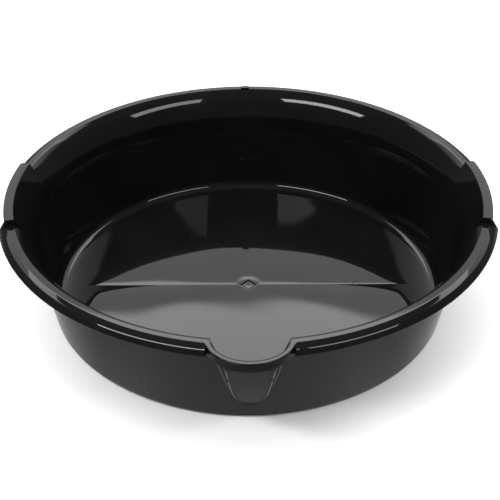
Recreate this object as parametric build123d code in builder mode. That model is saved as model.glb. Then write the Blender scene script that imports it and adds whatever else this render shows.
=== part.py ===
"""Oil drain pan: one injection moulding, modelled as eight regions that meet face to face.

Millimetres. The origin is the centre of the flat underside, +Z is up, and the pouring spout
points along -Y, with the two grips on +X and -X.
"""

import os
from math import atan, cos, degrees, hypot, radians, sin, sqrt, tan

from build123d import *

# Overall sizes
WALL = 2.5              # wall thickness all over
RIM_TOP = 85.5          # flat top of the rim above the underside
GRIP_TOP = 90.0         # flat top of each raised grip
BASE_R = 149.4          # outer wall's radius where it would meet the underside
DRAFT = 0.184           # how far the wall leans out for each millimetre of height

# Rounding of the bowl
FLOOR_FILLET = 8.0      # inside, floor to wall
BASE_FILLET = 4.0       # outside, underside to wall
FLARE_R = 38.0          # wall curving out towards the rim
FLARE_ANGLE = 41.0      # steepness of the flare where it reaches the rim's band, degrees

# Rim
BAND_IN = 172.1         # flat band, inner edge
BAND_OUT = 177.0        # flat band, outer edge
BAND_IN_FILLET = 1.8
BAND_OUT_FILLET = 0.8
BAND_UNDER_FILLET = 0.3 # corners under the band
SKIRT_R = 184.0         # lower edge of the skirt that hangs from the band
SKIRT_Z = 79.8
SKIRT_TOP_ANGLE = -24.0
SKIRT_LOW_ANGLE = -54.0
SKIRT_FILLET = 17.0
SKIRT_UNDER_FILLET = 12.0
SPLIT_Z = 74.0          # height at which the side wall region ends and the rim begins

# Grips
GRIP_HALF_ANGLE = 13.35 # each grip spans this much either side of the X axis, degrees
GRIP_OUT = 179.0        # outer edge of the flange
GRIP_FLARE_ANGLE = 60.0 # steepness of the wall that rises to the flange, degrees
GRIP_EDGE_FILLET = 0.9
GRIP_CORNER_FILLET = 2.0

# Pouring spout
CHUTE_FOOT_Z = 13.3     # lowest point of the chute, on the outside of the wall
CHUTE_LEAN = 32.6       # chute's front face from the vertical, degrees
CHUTE_NOSE_R = 9.7      # round bottom end of the front face
CHUTE_SPREAD = 5.4      # front face widening on each side, degrees
CHUTE_TAPER = 24.0      # sides widening back towards the wall, degrees
CHUTE_EDGE_FILLET = 2.0
LIP_CENTRE_Y = -170.0   # centre of the half-ellipse that the mouth follows
LIP_HALF_WIDTH = 28.6   # outside of the lip
LIP_REACH = 26.5        # outside of the lip, from its centre to its tip
MOUTH_HALF_WIDTH = 25.0 # inside of the lip
MOUTH_REACH = 21.8
LIP_Z = 80.0            # underside of the lip

# Moulding marks
GATE_SIDE = 9.6         # square gate mark at the floor's centre
GATE_DEPTH = 0.7
RING_MARK_R = 2.75      # small round mark beside it
RING_MARK_X = 84.0
RING_MARK_DEPTH = 0.5
NUB_WIDTH = 7.0         # small nub on the rear of the band
NUB_LENGTH = 4.0
NUB_HEIGHT = 1.2

CLEAR = 2 * SKIRT_R     # a size that clears the whole pan


def meet(line_a, line_b):
    """Point where two lines cross, each given as ((r, z), angle in degrees)."""
    (ra, za), a = line_a
    (rb, zb), b = line_b
    ca, sa, cb, sb = cos(radians(a)), sin(radians(a)), cos(radians(b)), sin(radians(b))
    along = ((rb - ra) * sb - (zb - za) * cb) / (ca * sb - sa * cb)
    return (ra + along * ca, za + along * sa)


def sink(line, depth):
    """The same line, moved square to itself by depth, to the underside of the shell."""
    (r, z), a = line
    return ((r + depth * sin(radians(a)), z - depth * cos(radians(a))), a)


WALL_ANGLE = degrees(atan(1 / DRAFT))
INNER_BASE_R = BASE_R - WALL * sqrt(1 + DRAFT**2)
FLOOR_LINE = ((0, WALL), 0)
WALL_LINE = ((INNER_BASE_R, 0), WALL_ANGLE)
FLARE_LINE = ((BAND_IN, RIM_TOP), FLARE_ANGLE)
BAND_LINE = ((BAND_OUT, RIM_TOP), 0)
SKIRT_TOP_LINE = ((BAND_OUT, RIM_TOP), SKIRT_TOP_ANGLE)
SKIRT_LOW_LINE = ((SKIRT_R, SKIRT_Z), SKIRT_LOW_ANGLE)
FLARE_TURN = radians(WALL_ANGLE - FLARE_ANGLE)

# The grip's wall leaves the flare where the flare has turned to GRIP_FLARE_ANGLE.
flare_corner = meet(WALL_LINE, FLARE_LINE)
flare_tangent = FLARE_R * tan(FLARE_TURN / 2)
flare_centre = (
    flare_corner[0] + flare_tangent * cos(radians(FLARE_ANGLE)) + FLARE_R * sin(radians(FLARE_ANGLE)),
    flare_corner[1] + flare_tangent * sin(radians(FLARE_ANGLE)) - FLARE_R * cos(radians(FLARE_ANGLE)),
)
grip_foot = (
    flare_centre[0] - FLARE_R * sin(radians(GRIP_FLARE_ANGLE)),
    flare_centre[1] + FLARE_R * cos(radians(GRIP_FLARE_ANGLE)),
)
GRIP_WALL_LINE = (grip_foot, GRIP_FLARE_ANGLE)
GRIP_TOP_LINE = ((GRIP_OUT, GRIP_TOP), 0)

# Where the floor's fillet begins: the floor region ends and the side wall begins.
FLOOR_EDGE_R = meet(FLOOR_LINE, WALL_LINE)[0] - FLOOR_FILLET * tan(radians(WALL_ANGLE) / 2)


def rim_surface(depth):
    """Corners of the wall and rim section, floor centre to skirt edge, at a depth in the shell."""
    lines = [FLOOR_LINE, WALL_LINE, FLARE_LINE, BAND_LINE, SKIRT_TOP_LINE, SKIRT_LOW_LINE]
    lines = [sink(line, depth) for line in lines]
    corners = [meet(a, b) for a, b in zip(lines, lines[1:])]
    return [lines[0][0], *corners, lines[-1][0]]


def grip_surface(depth):
    """Corners of the section through a grip, floor centre to flange edge."""
    lines = [sink(line, depth) for line in (FLOOR_LINE, WALL_LINE, GRIP_WALL_LINE, GRIP_TOP_LINE)]
    corners = [meet(a, b) for a, b in zip(lines, lines[1:])]
    return [lines[0][0], *corners, lines[-1][0]]


def rim_radii(depth):
    """Fillet radius at each corner of rim_surface."""
    if depth == 0:
        return [FLOOR_FILLET, FLARE_R, BAND_IN_FILLET, BAND_OUT_FILLET, SKIRT_FILLET]
    return [BASE_FILLET, FLARE_R - depth, BAND_UNDER_FILLET, BAND_UNDER_FILLET, SKIRT_UNDER_FILLET]


def grip_radii(depth):
    """Fillet radius at each corner of grip_surface."""
    if depth == 0:
        return [FLOOR_FILLET, FLARE_R, GRIP_EDGE_FILLET]
    return [BASE_FILLET, FLARE_R - depth, BAND_UNDER_FILLET]


def shell_section(surface, radii):
    """Closed section between the visible surface and the one a wall's thickness below it."""
    with BuildLine() as outline:
        upper = FilletPolyline(*surface(0), radius=radii(0))
        lower = FilletPolyline(*surface(WALL), radius=radii(WALL))
        Line(upper @ 0, lower @ 0)
        Line(upper @ 1, lower @ 1)
    make_face(outline.edges())


def keep_box(r_low, r_high, z_low, z_high):
    """Keep only this rectangle of the current section."""
    with Locations(((r_low + r_high) / 2, (z_low + z_high) / 2)):
        Rectangle(r_high - r_low, z_high - z_low, mode=Mode.INTERSECT)


def radial_plane(azimuth):
    """Upright half plane through the Z axis, with its local x pointing out at this azimuth."""
    a = radians(azimuth)
    return Plane(origin=(0, 0, 0), x_dir=(cos(a), sin(a), 0), z_dir=(sin(a), -cos(a), 0))


# ---- Chute and mouth, as solid bodies that the regions are cut with ----

lean = radians(CHUTE_LEAN)
foot_y = -(BASE_R + DRAFT * CHUTE_FOOT_Z)
chute_inward = Vector(0, cos(lean), sin(lean))  # square to the chute's front face, into the pan


def chute_outline(nose_r, low):
    """Front face: a round nose at the bottom and two sides that spread upwards."""
    spread = radians(CHUTE_SPREAD)
    side_x = nose_r * cos(spread)
    side_y = low - nose_r * sin(spread)
    top_x = side_x + (RIM_TOP - side_y) * tan(spread)
    with BuildLine() as outline:
        nose = ThreePointArc((-side_x, side_y), (0, low - nose_r), (side_x, side_y))
        right = Line(nose @ 1, (top_x, RIM_TOP))
        across = Line(right @ 1, (-top_x, RIM_TOP))
        Line(across @ 1, nose @ 0)
    make_face(outline.edges())


def chute_plane(depth):
    """Plane parallel to the front face and this far inside it."""
    origin = Vector(0, foot_y, CHUTE_FOOT_Z) + chute_inward * depth
    return Plane(origin=origin, x_dir=(1, 0, 0), z_dir=chute_inward * -1)


def mouth_outline(half_width, reach):
    """Half-ellipse to the spout's tip, with straight sides back into the bowl."""
    with BuildLine() as outline:
        tip = EllipticalCenterArc((0, LIP_CENTRE_Y), half_width, reach, 180, arc_size=180)
        right = Line(tip @ 1, (half_width, -BASE_R / 2))
        across = Line(right @ 1, (-half_width, -BASE_R / 2))
        Line(across @ 1, tip @ 0)
    make_face(outline.edges())


with BuildPart() as chute_outside:
    with BuildSketch(chute_plane(0)):
        chute_outline(CHUTE_NOSE_R, CHUTE_NOSE_R)
    extrude(amount=-RIM_TOP, taper=-CHUTE_TAPER)
    front = chute_outside.faces().sort_by(lambda f: f.center().dot(chute_inward))[0]
    fillet(front.edges(), CHUTE_EDGE_FILLET)
    split(bisect_by=Plane.XY.offset(LIP_Z), keep=Keep.BOTTOM)

with BuildPart() as chute_inside:
    with BuildSketch(chute_plane(WALL)):
        chute_outline(CHUTE_NOSE_R - WALL / 2, CHUTE_NOSE_R)
    extrude(amount=-RIM_TOP, taper=-CHUTE_TAPER)
    split(bisect_by=Plane.XY.offset(LIP_Z), keep=Keep.BOTTOM)

with BuildPart() as lip_outside:
    with BuildSketch(Plane.XY.offset(LIP_Z)):
        mouth_outline(LIP_HALF_WIDTH, LIP_REACH)
    extrude(amount=RIM_TOP - LIP_Z)

with BuildPart() as mouth_inside:
    with BuildSketch(Plane.XY.offset(LIP_Z)):
        mouth_outline(MOUTH_HALF_WIDTH, MOUTH_REACH)
    extrude(amount=RIM_TOP)

with BuildPart() as bowl_space:
    with BuildSketch(Plane.XZ):
        with BuildLine():
            surface = FilletPolyline(*rim_surface(0)[:4], radius=rim_radii(0)[:2])
            up = Line(surface @ 1, (BAND_IN, CLEAR))
            back = Line(up @ 1, (0, CLEAR))
            Line(back @ 1, surface @ 0)
        make_face()
    revolve(axis=Axis.Z)

# ---- Floor ----

with BuildPart() as floor:
    with BuildSketch(Plane.XZ):
        shell_section(rim_surface, rim_radii)
        keep_box(0, FLOOR_EDGE_R, 0, RIM_TOP)
    revolve(axis=Axis.Z)
    with BuildSketch(Plane.XY.offset(WALL)):
        Rectangle(GATE_SIDE, GATE_SIDE, rotation=45)
    extrude(amount=-GATE_DEPTH, mode=Mode.SUBTRACT)
    with BuildSketch(Plane.XY.offset(WALL)):
        with Locations((RING_MARK_X, 0)):
            Circle(RING_MARK_R)
            Circle(RING_MARK_R - RING_MARK_DEPTH, mode=Mode.SUBTRACT)
    extrude(amount=-RING_MARK_DEPTH, mode=Mode.SUBTRACT)

# ---- Side wall ----

with BuildPart() as side_wall:
    with BuildSketch(Plane.XZ):
        shell_section(rim_surface, rim_radii)
        keep_box(FLOOR_EDGE_R, CLEAR, 0, SPLIT_Z)
    revolve(axis=Axis.Z)
    add(chute_outside.part, mode=Mode.SUBTRACT)


# ---- Rim, in the three stretches that the grips and the spout leave ----

def rim_stretch(first_azimuth, sweep):
    """Revolve the rim's section, band and skirt, through one stretch."""
    with BuildSketch(radial_plane(first_azimuth)) as section:
        shell_section(rim_surface, rim_radii)
        keep_box(0, CLEAR, SPLIT_Z, RIM_TOP)
    revolve(section.sketch, axis=Axis.Z, revolution_arc=sweep)


STRETCH_BACK = 180 - 2 * GRIP_HALF_ANGLE
STRETCH_FRONT = 90 - GRIP_HALF_ANGLE

with BuildPart() as rim_back:
    rim_stretch(GRIP_HALF_ANGLE, STRETCH_BACK)
    with BuildSketch(Plane.XY.offset(RIM_TOP)):
        with Locations((0, (BAND_IN + BAND_OUT) / 2)):
            SlotOverall(NUB_WIDTH, NUB_LENGTH)
    extrude(amount=NUB_HEIGHT)

with BuildPart() as rim_front_left:
    rim_stretch(180 + GRIP_HALF_ANGLE, STRETCH_FRONT)
    add(chute_outside.part, mode=Mode.SUBTRACT)
    add(lip_outside.part, mode=Mode.SUBTRACT)

with BuildPart() as rim_front_right:
    rim_stretch(270, STRETCH_FRONT)
    add(chute_outside.part, mode=Mode.SUBTRACT)
    add(lip_outside.part, mode=Mode.SUBTRACT)


# ---- Grips ----

def end_web(azimuth, thickness):
    """Plate that closes a grip's end, from the raised flange out to the edge of the rim's skirt."""
    wall_middle = sink(GRIP_WALL_LINE, WALL / 2)
    low = meet(wall_middle, ((0, SPLIT_Z + WALL), 0))
    high = meet(wall_middle, ((0, GRIP_TOP - WALL / 2), 0))
    skirt_corner = meet(SKIRT_TOP_LINE, SKIRT_LOW_LINE)
    with BuildSketch(radial_plane(azimuth)) as web:
        Polygon(
            low, (SKIRT_R, SKIRT_Z), skirt_corner, (BAND_OUT, RIM_TOP), (BAND_OUT, high[1]), high, align=None
        )
    extrude(web.sketch, amount=thickness)


def grip_shape(middle_azimuth):
    """Wall rising to the flange, with the flange's outer corners rounded in plan."""
    with BuildSketch(radial_plane(middle_azimuth - GRIP_HALF_ANGLE)) as section:
        shell_section(grip_surface, grip_radii)
        keep_box(0, CLEAR, SPLIT_Z, GRIP_TOP)
    grip = revolve(section.sketch, axis=Axis.Z, revolution_arc=2 * GRIP_HALF_ANGLE)
    corners = grip.edges().filter_by(Axis.Z).sort_by(lambda e: hypot(e.center().X, e.center().Y))
    fillet(corners[-2:], GRIP_CORNER_FILLET)
    end_web(middle_azimuth + GRIP_HALF_ANGLE, WALL)
    end_web(middle_azimuth - GRIP_HALF_ANGLE, -WALL)


with BuildPart() as grip_right:
    grip_shape(0)

with BuildPart() as grip_left:
    grip_shape(180)

# ---- Pouring spout ----

with BuildPart() as pour_spout:
    add(chute_outside.part)
    add(lip_outside.part)
    add(chute_inside.part, mode=Mode.SUBTRACT)
    add(mouth_inside.part, mode=Mode.SUBTRACT)
    add(bowl_space.part, mode=Mode.SUBTRACT)

# ---- Write the regions ----

REGIONS = {
    "floor": floor,
    "side_wall": side_wall,
    "rim_back": rim_back,
    "rim_front_left": rim_front_left,
    "rim_front_right": rim_front_right,
    "grip_left": grip_left,
    "grip_right": grip_right,
    "pour_spout": pour_spout,
}

os.makedirs("parts", exist_ok=True)
for label, region in REGIONS.items():
    region.part.label = label
    export_step(region.part, f"parts/{label}.step")
    print(label, "solids", len(region.part.solids()), "volume", round(region.part.volume))
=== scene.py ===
"""Oil drain pan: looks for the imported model. The pan's lengths are in mm until its meshes are made."""

import math

import bmesh
import bpy
import numpy as np
from mathutils import Matrix, Vector


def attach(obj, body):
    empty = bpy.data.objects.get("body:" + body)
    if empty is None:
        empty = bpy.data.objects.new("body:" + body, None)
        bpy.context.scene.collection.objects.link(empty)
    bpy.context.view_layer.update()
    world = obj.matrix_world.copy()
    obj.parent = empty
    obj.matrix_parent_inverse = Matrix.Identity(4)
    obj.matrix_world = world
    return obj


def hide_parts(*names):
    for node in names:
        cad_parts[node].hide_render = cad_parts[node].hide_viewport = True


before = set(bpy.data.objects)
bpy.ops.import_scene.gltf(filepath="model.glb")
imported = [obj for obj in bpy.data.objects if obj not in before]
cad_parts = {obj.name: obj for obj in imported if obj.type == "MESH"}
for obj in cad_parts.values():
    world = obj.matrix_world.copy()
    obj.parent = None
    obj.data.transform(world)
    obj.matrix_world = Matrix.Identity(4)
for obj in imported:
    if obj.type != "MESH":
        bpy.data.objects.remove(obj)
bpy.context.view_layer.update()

MM = 0.001

# ---- Sizes of the moulding, the same as the CAD's ----

WALL = 2.5
RIM_TOP = 85.5
GRIP_TOP = 90.0
DRAFT = 0.184
OUTER_BASE_R = 149.4
INNER_BASE_R = OUTER_BASE_R - WALL * math.sqrt(1 + DRAFT**2)
WALL_ANGLE = math.degrees(math.atan(1 / DRAFT))
FLOOR_FILLET = 8.0
BASE_FILLET = 4.0
FLARE_R = 38.0
FLARE_ANGLE = 41.0
BAND_IN = 172.1
BAND_OUT = 177.0
BAND_EDGE = 1.8         # rounding of the band's inner edge
BAND_CORNER = 0.8       # rounding of its outer edge
SKIRT_R = 184.0
SKIRT_Z = 79.8
SKIRT_CORNER = (181.23, 83.62)
SKIRT_BEND = 7.65       # radius of the bend between the band and the skirt's hanging part
SKIRT_EDGE = 2.1        # width of the skirt's lower edge
SKIRT_ROUNDING = 0.45   # rounding of that edge on its outside
SKIRT_INSIDE = 0.4      # and on its inside
SKIRT_KNEE = (180.3, 81.1)
CEILING_Z = 82.9        # underside of the band
WEB_R = 175.0           # radius at which the faces of the band and of the roof are divided
GRIP_HALF = 13.35       # degrees from a grip's middle to its end
GRIP_IN = 171.9
GRIP_OUT = 179.0
GRIP_EDGE = 0.9         # rounding of the flange's inner edge
GRIP_DIVIDE_R = 174.0   # radius at which the faces of the flange are divided
GRIP_CORNER_FRONT = 1.2
GRIP_CORNER_BACK = 3.0
END_WALL = 2.5          # thickness of the wall that closes a grip's end
UNDER_FLANGE = GRIP_TOP - WALL

CHUTE_FOOT_Z = 14.1                     # height at which the chute's front face leaves the wall
CHUTE_LEAN = math.radians(32.6)         # lean of the front face from the vertical
CHUTE_HALF = 11.2                       # its half width, before the spread
CHUTE_NOSE = 11.0                       # length over which its lower end rounds out to that width
CHUTE_SPREAD = 0.062                    # half width gained for each mm upwards
CHUTE_TAPER = math.radians(24.0)        # angle of its flanks
CHUTE_ROUNDING = 0.8                    # between the front face and its flanks
CHUTE_BLEND = 0.8                       # between the flanks and the wall
CHUTE_TO_MOUTH = (66, 83)               # heights over which the chute's inside turns into the mouth
BEAD = 0.22                             # height of the fine bead round the edge of the front face
BEAD_WIDTH = 0.7
LIP_CENTRE = 170.0
LIP_OUTER = (28.6, 26.5)                # half width and depth of the half-ellipse
LIP_INNER = (25.1, 21.8)
LIP_Z = 80.0                            # underside of the lip
LIP_BLEND = 1.6                         # between the lip and the rim's band
LIP_OVERHANG = 0.3                      # by which the lip stands out over the chute's corners
SPOUT_SPAN = 12.5                       # degrees to each side of the spout in which the rim changes
SPOUT_REACH = SPOUT_SPAN + 3            # and in which the wall does
SEARCH_FROM, SEARCH_TO = 120.0, 215.0   # radii between which every surface lies
WALL_SLANT = 0.98                       # turns a radial distance from the wall into one square to it

NUB_X, NUB_Y, NUB_WIDTH, NUB_LENGTH, NUB_HEIGHT = -1.5, 173.3, 7.0, 4.4, 1.5
NUB_DEPTH = 1.6                         # by which the nub reaches into the rim
NUB_POINTS = 40
RING_X, RING_Y, RING_R, RING_THICK = 84.0, 1.5, 2.5, 0.28
RING_STEPS, RING_SIDES = 48, 10


# ---- Section curves ----

STRAIGHT = 1e-4         # a corner that turns by less than this, in radians, needs no fillet


def meet(first, first_angle, second, second_angle):
    """Point where two lines cross, each given as a point and an angle in degrees."""
    first_angle, second_angle = math.radians(first_angle), math.radians(second_angle)
    cos_first, sin_first = math.cos(first_angle), math.sin(first_angle)
    cos_second, sin_second = math.cos(second_angle), math.sin(second_angle)
    across = (second[0] - first[0]) * sin_second - (second[1] - first[1]) * cos_second
    distance = across / (cos_first * sin_second - sin_first * cos_second)
    return np.array((first[0] + distance * cos_first, first[1] + distance * sin_first))


def corner_arc(before, corner, after, radius, count):
    """Points of a fillet at a corner, from one tangent point to the other, both included."""
    before, corner, after = (np.asarray(point, float) for point in (before, corner, after))
    back = (before - corner) / np.linalg.norm(before - corner)
    ahead = (after - corner) / np.linalg.norm(after - corner)
    turn = math.pi - math.acos(np.clip(back @ ahead, -1, 1))
    if turn < STRAIGHT:
        return np.repeat(corner[None], count, 0)
    tangent = radius * math.tan(turn / 2)
    start = corner + back * tangent
    centre = corner + (back + ahead) / np.linalg.norm(back + ahead) * math.hypot(radius, tangent)
    x = (start - centre) / radius
    y = -back
    angles = np.linspace(0, turn, count)
    return centre + radius * (np.cos(angles)[:, None] * x + np.sin(angles)[:, None] * y)


def span(p, q, count):
    """Points from p to q with p left out."""
    t = np.linspace(0, 1, count + 1)[1:, None]
    return np.asarray(p, float) * (1 - t) + np.asarray(q, float) * t


flare_corner = meet((INNER_BASE_R, 0), WALL_ANGLE, (BAND_IN, RIM_TOP), FLARE_ANGLE)
flare_arc = corner_arc((INNER_BASE_R, 0), flare_corner, (BAND_IN, RIM_TOP), FLARE_R, 60)
inner_curve = np.vstack([(INNER_BASE_R - DRAFT * 20, -20), flare_arc, (BAND_IN, RIM_TOP),
                         meet((BAND_IN, RIM_TOP), FLARE_ANGLE, (0, 110), 0)])
along_curve = np.gradient(inner_curve, axis=0)
along_curve /= np.linalg.norm(along_curve, axis=1)[:, None]
outer_curve = inner_curve + WALL * np.stack([along_curve[:, 1], -along_curve[:, 0]], 1)


def inner_wall(z):
    """Radius of the plain wall's inside at a height."""
    return np.interp(z, inner_curve[:, 1], inner_curve[:, 0])


def outer_wall(z):
    """Radius of the plain wall's outside at a height."""
    return np.interp(z, outer_curve[:, 1], outer_curve[:, 0])


def smooth_min(a, b, k):
    """The lower of two values, rounded over the width k where they cross."""
    h = np.clip(0.5 + 0.5 * (b - a) / k, 0, 1)
    return b + (a - b) * h - k * h * (1 - h)


def smooth_max(a, b, k):
    return -smooth_min(-a, -b, k)


def ease(x, low, high):
    """Soft step from 0 at low to 1 at high."""
    t = np.clip((x - low) / (high - low), 0, 1)
    return t * t * (3 - 2 * t)


def chute_field(x, out, z, inside):
    """Below zero inside the chute's body; out is the distance from the axis towards the spout."""
    foot = OUTER_BASE_R + DRAFT * CHUTE_FOOT_Z
    depth = WALL if inside else 0
    along = (out - foot) * math.sin(CHUTE_LEAN) + (z - CHUTE_FOOT_Z) * math.cos(CHUTE_LEAN)
    inward = -(out - foot) * math.cos(CHUTE_LEAN) + (z - CHUTE_FOOT_Z) * math.sin(CHUTE_LEAN) - depth
    # the front face's half width grows steeply from its round nose, then at a steady spread
    half = CHUTE_HALF - (WALL / 2 if inside else 0) + CHUTE_SPREAD * np.maximum(along, 0)
    square = half**2 * (1 - np.exp(-np.maximum(along, -CHUTE_NOSE) / CHUTE_NOSE))
    outline = (x**2 - square) / (np.abs(x) + np.sqrt(np.maximum(square, 0)) + 1)
    if not inside:
        inward = inward + BEAD * np.exp(-((outline + BEAD_WIDTH) / BEAD_WIDTH) ** 2)
    flank = (outline - inward * math.tan(CHUTE_TAPER)) * math.cos(CHUTE_TAPER)
    return smooth_max(-inward, flank, CHUTE_ROUNDING)


def lip_field(x, out, size):
    """Below zero inside the half-ellipse of the lip, whose sides run straight back to the bowl."""
    a, b = size
    return (np.hypot(x / a, np.maximum(out - LIP_CENTRE, 0) / b) - 1) * b


def solve(field, count=34):
    """Radius at which a field along each ray turns from below zero to above it."""
    def run(shape):
        low, high = np.full(shape, SEARCH_FROM), np.full(shape, SEARCH_TO)
        for _ in range(count):
            middle = (low + high) / 2
            within = field(middle) < 0
            low, high = np.where(within, middle, low), np.where(within, high, middle)
        return (low + high) / 2
    return run


def bowl_radius(alpha, z):
    """Inner surface: the bowl together with the chute and the mouth. alpha is measured from the spout."""
    alpha, z = np.broadcast_arrays(np.radians(alpha), z)

    def field(r):
        x, out = r * np.sin(alpha), r * np.cos(alpha)
        chute = chute_field(x, out, z, True)
        mouth = lip_field(x, out, LIP_INNER)
        t = ease(z, *CHUTE_TO_MOUTH)
        return smooth_min((r - inner_wall(z)) * WALL_SLANT, chute * (1 - t) + mouth * t, CHUTE_BLEND)
    found = solve(field)(alpha.shape)
    return np.where(np.abs(alpha) < math.radians(SPOUT_REACH), found, inner_wall(z))


def body_radius(alpha, z):
    """Outer surface below the rim: the wall together with the chute, which keeps under the lip."""
    alpha, z = np.broadcast_arrays(np.radians(alpha), z)

    def field(r):
        x, out = r * np.sin(alpha), r * np.cos(alpha)
        lip = lip_field(x, out, LIP_OUTER) + LIP_OVERHANG
        chute = smooth_max(chute_field(x, out, z, False), lip, 1.0)
        return smooth_min((r - outer_wall(z)) * WALL_SLANT, chute, CHUTE_BLEND)
    found = solve(field)(alpha.shape)
    return np.where(np.abs(alpha) < math.radians(SPOUT_REACH), found, outer_wall(z))


def band_radius(alpha):
    """Outer edge of the flat band, which swings out round the mouth."""
    alpha = np.radians(alpha)

    def field(r):
        x, out = r * np.sin(alpha), r * np.cos(alpha)
        return smooth_min(r - BAND_OUT, lip_field(x, out, LIP_OUTER), LIP_BLEND)
    found = solve(field)(alpha.shape)
    return np.where(np.abs(alpha) < math.radians(SPOUT_SPAN), found, BAND_OUT)


# ---- Floor: nearly flat, with the slight warp and creases of a thin moulding ----

FLOOR_R = 140.0
WARP_FADE_R = 118.0     # from here outwards the warp fades out
DISH = 0.35             # by which the floor's middle stands higher than its edge
CREASE_LIFT = 0.03      # by which the floor rises sharply behind the crease along X
BACK_LIFT = 0.10        # and slowly, up to one and a half times this towards the left
FRONT_LIFT = 0.16       # by which it rises in front of the crease
SIDE_LIFT = 0.46        # and further out to both sides
CREASE_END = (116, 130)                 # distances from the middle over which the crease ends
SPOUT_CREASE = 0.03     # depth of the faint crease from the gate mark towards the spout
GATE_DEPTH = 0.75


def settle(distance, length):
    """Step that rises steeply from 0 and settles at 1 over about this length."""
    return 1 - np.exp(-distance / length)


def floor_height(x, y):
    """Height of the floor's upper surface, without the gate mark."""
    r = np.hypot(x, y)
    inside = 1 - ease(r, WARP_FADE_R, FLOOR_R)
    dish = DISH * (1 - (r / FLOOR_R) ** 2)
    waves = (0.10 * np.sin(x / 33 + 0.7) * np.cos(y / 41 - 0.4)
             + 0.06 * np.sin(x / 17 - 1.1 + y / 60) * np.cos(y / 23 + x / 90)
             + 0.05 * np.cos(x / 58 - y / 29 + 2.0))
    # a shallow valley along X, steeper in front of its crease than behind it
    reach = 1 - ease(np.abs(x), *CREASE_END)
    left = ease(-x, 8, 90)
    behind, before = np.maximum(y, 0), np.maximum(-y, 0)
    across = CREASE_LIFT * settle(behind, 1.6) + BACK_LIFT * (0.5 + left) * settle(behind, 9)
    across = (across + SIDE_LIFT * ease(np.abs(x), 15, 80) * settle(before, 9)) * reach
    across = across + FRONT_LIFT * settle(before, 7) * reach
    crease = -SPOUT_CREASE * np.exp(-(x / 1.3) ** 2) * (1 - ease(-y, 70, 118)) * ease(-y, 6, 14)
    return WALL + (dish + waves) * inside + (across + crease) * ease(r, 6, 12)


# ---- Columns: the section at each azimuth, with the same rows in every column of one kind ----

# rows in each part of a section
N_FILLET, N_WALL, N_FLARE, N_EDGE, N_BAND, N_TURN, N_SKIRT, N_FORK = 8, 62, 14, 7, 4, 5, 12, 12

FLOOR_CORNER = meet((0, WALL), 0, (INNER_BASE_R, 0), WALL_ANGLE)
FLOOR_ARC = corner_arc((0, WALL), FLOOR_CORNER, (INNER_BASE_R + DRAFT * 60, 60), FLOOR_FILLET, N_FILLET + 1)
BASE_CORNER = (OUTER_BASE_R, 0.0)
BASE_ARC = corner_arc((OUTER_BASE_R + DRAFT * 60, 60), BASE_CORNER, (0, 0), BASE_FILLET, N_FILLET)

# the heights at which rim and grip part, on the wall's inside and on its outside
FORK_Z = 74.6
FORK_LOW_Z = 73.4
FORK_POINT = np.array((float(inner_wall(FORK_Z)), FORK_Z))
FORK_LOW = np.array((float(outer_wall(FORK_LOW_Z)), FORK_LOW_Z))
# rows of the outer wall below that, closest together where the chute grows out of it
LOWER_Z = np.concatenate([np.linspace(FORK_LOW_Z, 34, 28)[1:], np.linspace(34, 8, 46)[1:],
                          np.linspace(8, BASE_ARC[0][1], 4)[1:]])

# degrees from the spout's middle at which the rim changes into the spout
EDGE_SHARPENS = (7.5, 9.6)      # the band's inner edge takes a smaller rounding
SKIRT_GONE = 8.8                # the skirt has shrunk to nothing
SKIRT_GROWTH = 0.45             # and takes this much to reach its full width
SKIRT_OPENS = (9.7, 10.4)       # the skirt becomes hollow


def upper_wall(radius_at, top, edge_radius):
    """Rows from the floor's fillet up to the flat top, whose inner edge is rounded."""
    start_z = FLOOR_ARC[-1][1]
    z = np.linspace(start_z, FORK_Z, N_WALL + 1)[1:]
    wall = np.stack([radius_at(z), z], 1)
    high = float(radius_at(np.array([top]))[0])
    near = float(radius_at(np.array([top - 1.5]))[0])
    arc = corner_arc((near, top - 1.5), (high, top), (high + 5, top), edge_radius, N_EDGE)
    z = np.linspace(FORK_Z, arc[0][1], N_FLARE + 1)[1:]
    flare = np.stack([radius_at(z), z], 1)
    flare[-1] = arc[0]
    return wall, flare, arc[1:]


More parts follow.
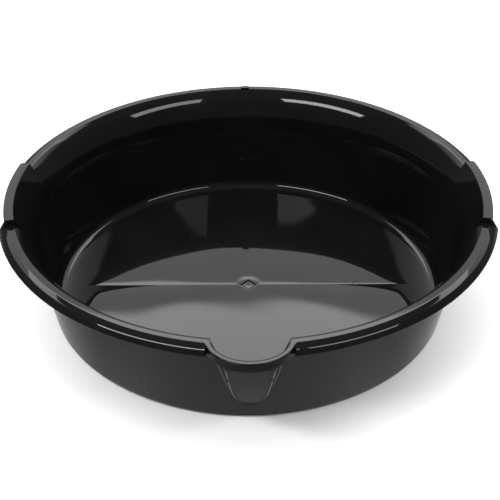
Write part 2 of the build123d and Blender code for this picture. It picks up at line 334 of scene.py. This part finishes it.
def rim_column(alpha):
    """Section of the rim, and of the spout where alpha is small."""
    def radius_at(z):
        return bowl_radius(np.full(len(z), float(alpha)), z)
    near = abs(alpha)
    in_spout = 1 - ease(near, *EDGE_SHARPENS)
    wall, flare, arc = upper_wall(radius_at, RIM_TOP, BAND_EDGE - 0.7 * in_spout)
    outer = float(band_radius(np.array([float(alpha)]))[0])
    # the skirt shrinks to nothing where it ends beside the spout
    gap = np.clip((near - SKIRT_GONE) / SKIRT_GROWTH, 0, 1)
    full = math.sqrt(1 - (1 - gap) ** 2)
    hollow = ease(near, *SKIRT_OPENS)
    solid = 1 - hollow
    shift = outer - BAND_OUT

    def at(r, z):
        """A point of the full skirt, moved to where the skirt is at this azimuth."""
        slope = 0.25 * (1 - full) * (RIM_TOP - z) / 5
        return np.array((BAND_OUT + (r - BAND_OUT) * full + shift + slope, z))
    turn = corner_arc((outer - 4, RIM_TOP), (outer, RIM_TOP), at(*SKIRT_CORNER), BAND_CORNER, N_TURN)
    last = arc[-1]
    if last[0] < WEB_R - 0.5 and shift < 0.01:
        band = np.vstack([span(last, (WEB_R, RIM_TOP), 2), span((WEB_R, RIM_TOP), turn[0], 2)])
    else:
        band = span(last, turn[0], N_BAND)
    bend = corner_arc((BAND_OUT, RIM_TOP), SKIRT_CORNER, (SKIRT_R, SKIRT_Z), SKIRT_BEND, N_SKIRT - 3)
    bend = np.array([at(r, z) for r, z in bend])
    edge_out = at(SKIRT_R, SKIRT_Z)
    edge_in = at(SKIRT_R - SKIRT_EDGE, SKIRT_Z - 0.3)
    hanging = span(bend[-1], edge_out + (-0.3 * full, SKIRT_ROUNDING), 3)
    skirt = np.vstack([span(turn[-1], bend[0], 1), bend[1:], hanging])
    lip = corner_arc(skirt[-1], edge_out, edge_in, SKIRT_ROUNDING, 4)
    under = corner_arc(edge_out, edge_in, (edge_in[0] - 1, edge_in[1] + 2), SKIRT_INSIDE, 3)
    ceiling = CEILING_Z * hollow + LIP_Z * solid
    inner_top = float(body_radius(np.array([float(alpha)]), np.array([ceiling]))[0])
    shoulder = np.array((BAND_OUT + shift + 0.6 * hollow - 0.9 * solid, ceiling - 0.15 * hollow))
    knee = (SKIRT_KNEE[0] * hollow + (outer - 0.6) * solid, SKIRT_KNEE[1] * hollow + LIP_Z * solid)
    drop = np.vstack([span(under[-1], knee, 3), span(knee, shoulder, 3)])
    if shift < 0.01:
        web = np.array((WEB_R, ceiling))
    else:
        web = shoulder * 0.75 + np.array((inner_top, ceiling)) * 0.25
    roof = span(shoulder, web, 4)
    start = np.array((inner_top, ceiling))
    z = np.linspace(ceiling, FORK_LOW_Z, N_FORK + 1)[1:]
    below = np.stack([body_radius(np.full(N_FORK, float(alpha)), z), z], 1)
    fork = np.vstack([span(web, start, 2), below])
    lower = np.stack([body_radius(np.full(len(LOWER_Z), float(alpha)), LOWER_Z), LOWER_Z], 1)
    return [wall, flare, arc, band, turn, skirt, lip, under, drop, roof, fork, lower, BASE_ARC[1:]]


# ---- Grip columns ----

FLANGE_LIP = 6          # place of the flange's lower edge among a grip's sections
FOOT_ROW = 5            # row of the rim's fork on which the end wall's lower edge stands
FLANGE_SOFTNESS = 0.55  # rounding of the flange's top at its ends


def flange(distance, corner_radius):
    """Rows up the wall, over a grip's flange and down its edge, this many mm from the grip's end."""
    short = 1 - np.clip(distance / FLANGE_SOFTNESS, 0, 1)
    rounding = FLANGE_SOFTNESS * (1 - math.sqrt(1 - short ** 2))
    top = GRIP_TOP - rounding
    lack = np.clip(corner_radius - distance, 0, corner_radius)
    outer = GRIP_OUT - (corner_radius - math.sqrt(corner_radius**2 - lack**2))
    outer = max(outer, END_WALL_R)
    corner = np.array((GRIP_IN + 0.5 * rounding, top))

    def radius_at(z):
        t = (z - FORK_Z) / (corner[1] - FORK_Z)
        return np.where(z <= FORK_Z, inner_wall(z), FORK_POINT[0] + t * (corner[0] - FORK_POINT[0]))
    wall, flare, arc = upper_wall(radius_at, top, GRIP_EDGE)
    turn = corner_arc((outer - 3, top), (outer, top), (outer, UNDER_FLANGE), 0.7, N_TURN)
    band = np.vstack([span(arc[-1], (GRIP_DIVIDE_R, top), 2), span((GRIP_DIVIDE_R, top), turn[0], 2)])
    edge = span(turn[-1], (outer, UNDER_FLANGE + 0.4), 6)
    lip = corner_arc(edge[-1], (outer, UNDER_FLANGE), (outer - 2, UNDER_FLANGE), 0.3, 4)
    return [wall, flare, arc, band, turn, edge, lip]


def lower_wall():
    """Rows down the plain outer wall, from the fork to the base's fillet."""
    return np.stack([outer_wall(LOWER_Z), LOWER_Z], 1)


def end_column(distance, corner_radius):
    """Section through the wall that closes a grip's end, out to the edge of the rim's skirt."""
    sections = flange(distance, corner_radius)[:FLANGE_LIP]
    outward = span(sections[-1][-1], plain[PLAIN_SKIRT][-1], 6)
    skirt = np.vstack([plain[PLAIN_LIP], plain[PLAIN_UNDER]])
    foot = plain[PLAIN_FORK][FOOT_ROW]
    bottom = span(skirt[-1], foot, 4)
    fork = plain[PLAIN_FORK][FOOT_ROW + 1:]
    return sections + [outward, skirt, bottom, fork, lower_wall(), BASE_ARC[1:]]


def grip_column(distance, corner_radius):
    """Section of a grip this many mm from its end, hollow under the flange."""
    sections = flange(distance, corner_radius)
    direction = np.array((GRIP_IN, GRIP_TOP)) - FORK_POINT
    direction /= np.linalg.norm(direction)
    knee = FORK_LOW + direction * ((UNDER_FLANGE - FORK_LOW_Z) / direction[1])
    bend = corner_arc((WEB_R, UNDER_FLANGE), knee, FORK_LOW, 0.8, 5)
    inmost = (WEB_R, UNDER_FLANGE)
    roof = np.vstack([span(sections[-1][-1], inmost, 4), span(inmost, bend[0], 3)])
    fork = np.vstack([bend[1:], span(bend[-1], FORK_LOW, 10)])
    return sections + [roof, fork, lower_wall(), BASE_ARC[1:]]


# ---- Azimuths of the columns ----

def spaced(low, high, step):
    """Even steps from low towards high, with high left out."""
    return list(np.linspace(low, high, max(1, round((high - low) / step)) + 1)[:-1])


RIGHT, BACK, LEFT, SPOUT = 0.0, 90.0, 180.0, 270.0
MIDDLE_OF_GRIP = 20.0   # mm from a grip's end, past everything that changes near it
PLAIN_ALPHA = 90.0      # degrees from the spout, where the rim is plain
# place of each part among the sections of a rim column
PLAIN_BAND, PLAIN_SKIRT, PLAIN_LIP, PLAIN_UNDER, PLAIN_FORK = 3, 5, 6, 7, 10
plain = rim_column(PLAIN_ALPHA)
END_WALL_R = float(plain[PLAIN_BAND][-1][0])
# each column is its azimuth, its kind and its sections; the kinds are rim, end, which cuts through
# the wall that closes a grip's end, and grip, which is hollow under the flange
columns = []

# degrees from a grip's middle, closest together at the crease of the floor that runs along X
CREASE_STEPS = sorted({round(side * step, 3) for side in (-1, 1)
                       for step in (0, 0.3, 0.6, 0.95, 1.4, 2.0, 2.8, 3.8, 5.0, 6.4, 8.0, 9.6, 11.2)})


def add_rim(azimuths):
    """Rim columns at these azimuths, each with its own section near the spout."""
    for azimuth in azimuths:
        alpha = azimuth - SPOUT
        columns.append((azimuth, "rim", rim_column(alpha) if abs(alpha) < SPOUT_SPAN else plain))


def add_grip(middle, corner_low, corner_high):
    """A grip from its end at the lower azimuth to the other, with the radius of each corner."""
    per_mm = math.degrees(1 / GRIP_OUT)
    # mm from the grip's end, closest together where the flange's edge is rounded
    in_end = [0, 0.08, 0.2, 0.36, 0.55, 0.8, 1.2, 1.6, 2.0, END_WALL]
    past_end = [END_WALL, 3.0, 3.5, 4.0, 6.0]
    for d in in_end:
        columns.append((middle - GRIP_HALF + d * per_mm, "end", end_column(d, corner_low)))
    for d in past_end:
        columns.append((middle - GRIP_HALF + d * per_mm, "grip", grip_column(d, corner_low)))
    flat = grip_column(MIDDLE_OF_GRIP, corner_low)
    first = -GRIP_HALF + past_end[-1] * per_mm
    for step in CREASE_STEPS:
        if first < step < -first:
            columns.append((middle + step, "grip", flat))
    for d in reversed(past_end):
        columns.append((middle + GRIP_HALF - d * per_mm, "grip", grip_column(d, corner_high)))
    for d in reversed(in_end):
        columns.append((middle + GRIP_HALF - d * per_mm, "end", end_column(d, corner_high)))


REAR_STEP, SIDE_STEP, SPOUT_STEP = 1.54, 1.5, 0.42
EDGE_FROM, EDGE_TO, EDGE_STEP = 8.0, 10.8, 0.07     # where the skirt ends beside the spout
MOUTH_STEP = 0.2
RIGHT_REAR_END, LEFT_REAR_END = GRIP_HALF, LEFT - GRIP_HALF
LEFT_FRONT_END, RIGHT_FRONT_END = LEFT + GRIP_HALF, 360 - GRIP_HALF
SPOUT_FIRST, SPOUT_LAST = SPOUT - SPOUT_SPAN, SPOUT + SPOUT_SPAN

add_grip(RIGHT, GRIP_CORNER_FRONT, GRIP_CORNER_BACK)
add_rim([RIGHT_REAR_END] + spaced(RIGHT_REAR_END, BACK, REAR_STEP)[1:])
add_rim(spaced(BACK, LEFT_REAR_END, REAR_STEP) + [LEFT_REAR_END])
add_grip(LEFT, GRIP_CORNER_BACK, GRIP_CORNER_FRONT)
add_rim([LEFT_FRONT_END] + spaced(LEFT_FRONT_END, SPOUT_FIRST, SIDE_STEP)[1:])
add_rim(spaced(SPOUT_FIRST, SPOUT - EDGE_TO, SPOUT_STEP))
add_rim(spaced(SPOUT - EDGE_TO, SPOUT - EDGE_FROM, EDGE_STEP))
add_rim(spaced(SPOUT - EDGE_FROM, SPOUT + EDGE_FROM, MOUTH_STEP))
add_rim(spaced(SPOUT + EDGE_FROM, SPOUT + EDGE_TO, EDGE_STEP))
add_rim(spaced(SPOUT + EDGE_TO, SPOUT_LAST, SPOUT_STEP))
add_rim(spaced(SPOUT_LAST, RIGHT_FRONT_END, SIDE_STEP) + [RIGHT_FRONT_END])


# ---- Rings of the floor, square round the gate mark and round further out ----

# half the gate mark's diagonal at each ring, and the depth there
GATE_RINGS = [(2.2, GATE_DEPTH * 0.93), (4.0, GATE_DEPTH), (5.4, GATE_DEPTH), (5.75, GATE_DEPTH * 0.86),
              (6.2, GATE_DEPTH * 0.3), (6.5, 0.04), (6.8, -0.05), (7.15, 0.0)]
FLOOR_RINGS = [8, 9, 10.5, 12.5, 15, 18, 21, 24.5] + list(np.arange(28, 136, 3.0)) + [136.5, 138.6]
SQUARE_TO_ROUND = (7, 21)       # radii over which the rings turn from square to round
UNDER_RINGS = [142.0, 138.5, 132.0, 120.0, 100.0, 80.0, 60.0, 40.0, 20.0, 8.0]
UNDER_RISE = 0.45               # by which the underside is raised inside its standing ring
STANDING_RING = (128, 139)      # radii over which it rises


def floor_rows(azimuth):
    """Rows from the gate mark out to the floor's fillet, as radius and height."""
    x, y = math.cos(math.radians(azimuth)), math.sin(math.radians(azimuth))
    diamond = 1 / (abs(x) + abs(y))
    rows = []
    for half, depth in GATE_RINGS:
        r = half * diamond
        rows.append((r, float(floor_height(r * x, r * y)) - depth))
    for ring in FLOOR_RINGS:
        t = float(ease(ring, *SQUARE_TO_ROUND))
        r = ring * (diamond * (1 - t) + t)
        rows.append((r, float(floor_height(r * x, r * y))))
    return np.array(rows)


def column_points(azimuth, sections):
    """All rows of a column, from the gate mark over the rim to the middle of the underside."""
    under = [(r, UNDER_RISE * (1 - float(ease(r, *STANDING_RING)))) for r in UNDER_RINGS]
    return np.vstack([floor_rows(azimuth), FLOOR_ARC] + sections + [np.array(under)])


# ---- Mesh ----

mesh = bmesh.new()
grid = []
for azimuth, kind, sections in columns:
    a = math.radians(azimuth)
    points = column_points(azimuth, sections)
    grid.append([mesh.verts.new((r * math.cos(a) * MM, r * math.sin(a) * MM, z * MM)) for r, z in points])

FLOOR_ROWS = len(GATE_RINGS) + len(FLOOR_RINGS) + len(FLOOR_ARC)


def first_rows(sections):
    """Row number at which each section of a column starts."""
    return [FLOOR_ROWS + sum(len(rows) for rows in sections[:k]) for k in range(len(sections) + 1)]


plain_rows = first_rows(plain)
end_rows = first_rows(end_column(0, GRIP_CORNER_BACK))
hollow_rows = first_rows(grip_column(END_WALL, GRIP_CORNER_BACK))
FORK_ROW = plain_rows[1] - 1                    # last row of the wall, where flange and rim part
RIM_SKIRT = plain_rows[PLAIN_LIP] - 1           # last row of the skirt
RIM_UNDER = plain_rows[PLAIN_UNDER + 1] - 1     # innermost row of the skirt's lower edge
RIM_FOOT = plain_rows[PLAIN_FORK] + FOOT_ROW    # row where the end wall's lower edge stands
FLANGE_EDGE = end_rows[FLANGE_LIP] - 1          # last row of the flange's edge, in end and grip alike
# last rows of an end column's line outwards, skirt edge, lower edge and fork
END_SKIRT, END_UNDER, END_FOOT, END_FORK = (end_rows[FLANGE_LIP + k] - 1 for k in (1, 2, 3, 4))
HOLLOW_FORK = hollow_rows[FLANGE_LIP + 3] - 1   # last row of a grip column's fork

neighbours = list(zip(range(len(grid)), list(range(1, len(grid))) + [0]))
for j, following in neighbours:
    here, there = grid[j], grid[following]
    kind, next_kind = columns[j][1], columns[following][1]
    if kind == next_kind:
        for i in range(len(here) - 1):
            mesh.faces.new((here[i], here[i + 1], there[i + 1], there[i]))
    # where the kind changes, faces with many corners close the step between the two sections
    elif "rim" in (kind, next_kind):
        rim, end = (here, there) if kind == "rim" else (there, here)
        mesh.faces.new(end[FORK_ROW:END_SKIRT + 1] + rim[FORK_ROW + 1:RIM_SKIRT][::-1])
        mesh.faces.new(rim[RIM_UNDER:RIM_FOOT + 1] + end[END_UNDER + 1:END_FOOT][::-1])
    else:
        end, hollow = (here, there) if kind == "end" else (there, here)
        mesh.faces.new(end[FLANGE_EDGE:END_FORK + 1] + hollow[FLANGE_EDGE + 1:HOLLOW_FORK][::-1])
centre = mesh.verts.new((0, 0, (float(floor_height(0, 0)) - GATE_DEPTH * 0.9) * MM))
foot = mesh.verts.new((0, 0, UNDER_RISE * MM))
for j, following in neighbours:
    here, there = grid[j], grid[following]
    if abs(columns[j][0] - columns[following][0]) > 1e-9:
        mesh.faces.new((centre, here[0], there[0]))
        mesh.faces.new((foot, there[-1], here[-1]))
# where two columns share an azimuth, their equal rows become one
bmesh.ops.remove_doubles(mesh, verts=mesh.verts, dist=2e-6)
bmesh.ops.dissolve_degenerate(mesh, edges=mesh.edges, dist=1e-6)
bmesh.ops.recalc_face_normals(mesh, faces=mesh.faces)
open_edges = sum(1 for e in mesh.edges if len(e.link_faces) != 2)
print("pan mesh", len(mesh.verts), "verts", len(mesh.faces), "faces")
print("pan mesh", open_edges, "edges not shared by two faces")

pan_mesh = bpy.data.meshes.new("pan_moulding")
mesh.to_mesh(pan_mesh)
mesh.free()
pan_mesh.polygons.foreach_set("use_smooth", [True] * len(pan_mesh.polygons))
pan_mesh.set_sharp_from_angle(angle=math.radians(38))
pan = bpy.data.objects.new("pan_moulding", pan_mesh)
bpy.context.scene.collection.objects.link(pan)


# ---- Material: glossy black moulded plastic ----

def plastic():
    """Black with faint mottling, a little uneven in its gloss, with a very fine bump."""
    material = bpy.data.materials.new("black_moulded_plastic")
    material.use_nodes = True
    nodes, links = material.node_tree.nodes, material.node_tree.links
    shader = nodes["Principled BSDF"]
    shader.inputs["IOR"].default_value = 1.49
    shader.inputs["Specular IOR Level"].default_value = 0.22
    shader.inputs["Metallic"].default_value = 0.0
    where = nodes.new("ShaderNodeTexCoord")

    def noise(scale, detail, roughness=0.5):
        node = nodes.new("ShaderNodeTexNoise")
        node.inputs["Scale"].default_value = scale
        node.inputs["Detail"].default_value = detail
        node.inputs["Roughness"].default_value = roughness
        links.new(where.outputs["Object"], node.inputs["Vector"])
        return node.outputs["Fac"]

    def ramp(value, low, high, to_low, to_high):
        node = nodes.new("ShaderNodeMapRange")
        node.inputs["From Min"].default_value = low
        node.inputs["From Max"].default_value = high
        node.inputs["To Min"].default_value = to_low
        node.inputs["To Max"].default_value = to_high
        links.new(value, node.inputs["Value"])
        return node.outputs["Result"]

    colour = nodes.new("ShaderNodeValToRGB")
    colour.color_ramp.elements[0].position = 0.3
    colour.color_ramp.elements[0].color = (0.0032, 0.0032, 0.0033, 1)
    colour.color_ramp.elements[1].position = 0.75
    colour.color_ramp.elements[1].color = (0.0050, 0.0050, 0.0051, 1)
    links.new(noise(22.0, 5.0), colour.inputs["Fac"])
    links.new(colour.outputs["Color"], shader.inputs["Base Color"])
    links.new(ramp(noise(9.0, 4.0, 0.6), 0.3, 0.7, 0.02, 0.05), shader.inputs["Roughness"])
    bump = nodes.new("ShaderNodeBump")
    bump.inputs["Strength"].default_value = 0.03
    bump.inputs["Distance"].default_value = 0.0001
    links.new(noise(420.0, 3.0), bump.inputs["Height"])
    links.new(bump.outputs["Normal"], shader.inputs["Normal"])
    return material


black = plastic()
pan_mesh.materials.append(black)
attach(pan, "root")
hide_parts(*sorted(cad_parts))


# ---- Small marks of the moulding ----

def detail(name, rings, closed):
    """Mesh from rings of points, capped at both ends unless the rings close on themselves."""
    marks = bmesh.new()
    rows = [[marks.verts.new([c * MM for c in point]) for point in ring] for ring in rings]
    pairs = list(zip(rows, rows[1:] + rows[:1])) if closed else list(zip(rows, rows[1:]))
    for low, high in pairs:
        for k in range(len(low)):
            m = (k + 1) % len(low)
            marks.faces.new((low[k], low[m], high[m], high[k]))
    if not closed:
        marks.faces.new(rows[0][::-1])
        marks.faces.new(rows[-1])
    bmesh.ops.recalc_face_normals(marks, faces=marks.faces)
    data = bpy.data.meshes.new(name)
    marks.to_mesh(data)
    marks.free()
    data.polygons.foreach_set("use_smooth", [True] * len(data.polygons))
    data.set_sharp_from_angle(angle=math.radians(50))
    data.materials.append(black)
    piece = bpy.data.objects.new(name, data)
    bpy.context.scene.collection.objects.link(piece)
    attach(piece, "root")


def stadium(inset, z):
    """Round-ended outline of the nub, shrunk by inset, at height z."""
    end = NUB_LENGTH / 2 - inset
    straight = (NUB_WIDTH - NUB_LENGTH) / 2
    points = []
    for k in range(NUB_POINTS):
        a = 2 * math.pi * (k + 0.5) / NUB_POINTS
        side = math.copysign(straight, math.cos(a))
        points.append((NUB_X + side + end * math.cos(a), NUB_Y + end * math.sin(a), z))
    return points


nub_top = RIM_TOP + NUB_HEIGHT
detail("rim_nub", [stadium(0, RIM_TOP - NUB_DEPTH), stadium(0, nub_top - 0.5),
                   stadium(0.15, nub_top - 0.15), stadium(0.5, nub_top)], False)

ring_z = float(floor_height(RING_X, RING_Y))
ring_rows = []
for step in range(RING_STEPS):
    a = 2 * math.pi * step / RING_STEPS
    row = []
    for k in range(RING_SIDES):
        b = 2 * math.pi * k / RING_SIDES
        r = RING_R + RING_THICK * math.cos(b)
        row.append((RING_X + r * math.cos(a), RING_Y + r * math.sin(a), ring_z + RING_THICK * math.sin(b)))
    ring_rows.append(row)
detail("ring_mark", ring_rows, True)


# ---- Studio ----

BASE_LIGHT = 0.2                        # radiance everywhere
TOP_LIGHT = (0.15, 30, 80)              # more towards the top: radiance and elevations
# the ground as the gloss sees it, brightest a little way out: radiance, elevations and softness
GROUND_LIGHT = [(0.3, -72, -4, 3), (0.4, -70, -53, 4)]
BACK_LIGHT = [(1.9, 24, 37.1, 0.4), (6.6, 37.1, 47, 0.4)]       # a lit zone behind the pan
BACK_SIDES = (20, 30)                   # degrees from the back, less the elevation, over which it ends


def world_light():
    """Light from all round, set by elevation and azimuth."""
    world = bpy.data.worlds.new("studio")
    bpy.context.scene.world = world
    world.use_nodes = True
    nodes, links = world.node_tree.nodes, world.node_tree.links
    background = nodes["Background"]
    where = nodes.new("ShaderNodeTexCoord")
    parts = nodes.new("ShaderNodeSeparateXYZ")
    links.new(where.outputs["Generated"], parts.inputs["Vector"])

    def maths(kind, a, b=None):
        node = nodes.new("ShaderNodeMath")
        node.operation = kind
        for slot, value in enumerate((a, b)):
            if value is None:
                continue
            if isinstance(value, (int, float)):
                node.inputs[slot].default_value = value
            else:
                links.new(value, node.inputs[slot])
        return node.outputs["Value"]

    def edge(value, low, high):
        node = nodes.new("ShaderNodeMapRange")
        node.interpolation_type = "SMOOTHSTEP"
        node.inputs["From Min"].default_value = low
        node.inputs["From Max"].default_value = high
        links.new(value, node.inputs["Value"])
        return node.outputs["Result"]

    def window(value, low, high, soft):
        rise = edge(value, low - soft, low + soft)
        fall = edge(value, high - soft, high + soft)
        return maths("SUBTRACT", rise, fall)

    elevation = maths("MULTIPLY", maths("ARCSINE", parts.outputs["Z"]), 180 / math.pi)
    azimuth = maths("MULTIPLY", maths("ARCTAN2", parts.outputs["Y"], parts.outputs["X"]), 180 / math.pi)

    def add(light, level, *masks):
        glow = level
        for mask in masks:
            glow = maths("MULTIPLY", mask, glow)
        return maths("ADD", light, glow)

    level, low, high = TOP_LIGHT
    light = add(BASE_LIGHT, level, edge(elevation, low, high))
    for level, low, high, soft in GROUND_LIGHT:
        light = add(light, level, window(elevation, low, high, soft))
    # the zone behind the pan grows wider with its height
    from_back = maths("SUBTRACT", maths("ABSOLUTE", maths("SUBTRACT", azimuth, BACK)), elevation)
    back = maths("SUBTRACT", 1.0, edge(from_back, *BACK_SIDES))
    for level, low, high, soft in BACK_LIGHT:
        light = add(light, level, window(elevation, low, high, soft), back)
    background.inputs["Color"].default_value = (1, 1, 1, 1)
    links.new(light, background.inputs["Strength"])


world_light()


def pale_floor():
    """Matt and almost white, with a little light of its own."""
    material = bpy.data.materials.new("pale_floor")
    material.use_nodes = True
    shader = material.node_tree.nodes["Principled BSDF"]
    shader.inputs["Base Color"].default_value = (0.86, 0.86, 0.86, 1)
    shader.inputs["Roughness"].default_value = 0.9
    shader.inputs["Specular IOR Level"].default_value = 0.0
    shader.inputs["Emission Color"].default_value = (1, 1, 1, 1)
    shader.inputs["Emission Strength"].default_value = 0.06
    return material


FLOOR_SIZE = 12.0       # metres, large enough to fill the background
bpy.ops.mesh.primitive_circle_add(vertices=96, radius=FLOOR_SIZE, fill_type="NGON", location=(0, 0, 0))
floor = bpy.context.object
floor.name = "studio_floor"
floor.data.materials.append(pale_floor())
# the gloss sees the world's ground light in place of this floor
floor.visible_glossy = False


def panel(name, nearest, azimuth, elevation, tilt, distance, size, radiance):
    """Long soft light facing the pan, seen from the point nearest to it at these angles, in metres."""
    a, e, t = math.radians(azimuth), math.radians(elevation), math.radians(tilt)
    towards = Vector((math.cos(e) * math.cos(a), math.cos(e) * math.sin(a), math.sin(e)))
    along = Vector((-math.sin(a), math.cos(a), 0))
    rising = towards.cross(along)
    long_side = along * math.cos(t) + rising * math.sin(t)
    short_side = towards.cross(long_side)
    data = bpy.data.lights.new(name, "AREA")
    data.shape = "RECTANGLE"
    data.size, data.size_y = size
    data.energy = radiance * math.pi * size[0] * size[1]
    light = bpy.data.objects.new(name, data)
    axes = Matrix((long_side, short_side, towards)).transposed().to_4x4()
    light.matrix_world = Matrix.Translation(Vector(nearest) + towards * distance) @ axes
    bpy.context.scene.collection.objects.link(light)
    return light


panel("panel_left", nearest=(-0.08, -0.16, 0.085), azimuth=-146, elevation=54, tilt=25,
      distance=1.5, size=(1.0, 0.22), radiance=21.0)
panel("panel_right", nearest=(0.08, -0.16, 0.085), azimuth=-33, elevation=51, tilt=-27,
      distance=2.3, size=(1.3, 0.36), radiance=10.5)
overhead = panel("overhead", nearest=(0, 0, 0), azimuth=0, elevation=90, tilt=0,
                 distance=3.0, size=(5.0, 5.0), radiance=1.6)
overhead.visible_glossy = False

CAMERA_ASIDE, CAMERA_DISTANCE, CAMERA_HEIGHT = 0.0013, 0.7582, 0.5557
CAMERA_TILT = math.radians(55.55)
CAMERA_TURN = math.radians(-0.5)
camera_data = bpy.data.cameras.new("camera")
camera_data.sensor_width = 36.0
camera_data.lens = 86.44
camera = bpy.data.objects.new("camera", camera_data)
bpy.context.scene.collection.objects.link(camera)
camera_x = CAMERA_ASIDE * math.cos(CAMERA_TURN) + CAMERA_DISTANCE * math.sin(CAMERA_TURN)
camera.location = (camera_x, -CAMERA_DISTANCE, CAMERA_HEIGHT)
camera.rotation_euler = (CAMERA_TILT, 0.0, CAMERA_TURN)
bpy.context.scene.camera = camera
bpy.context.scene.view_settings.view_transform = "Standard"
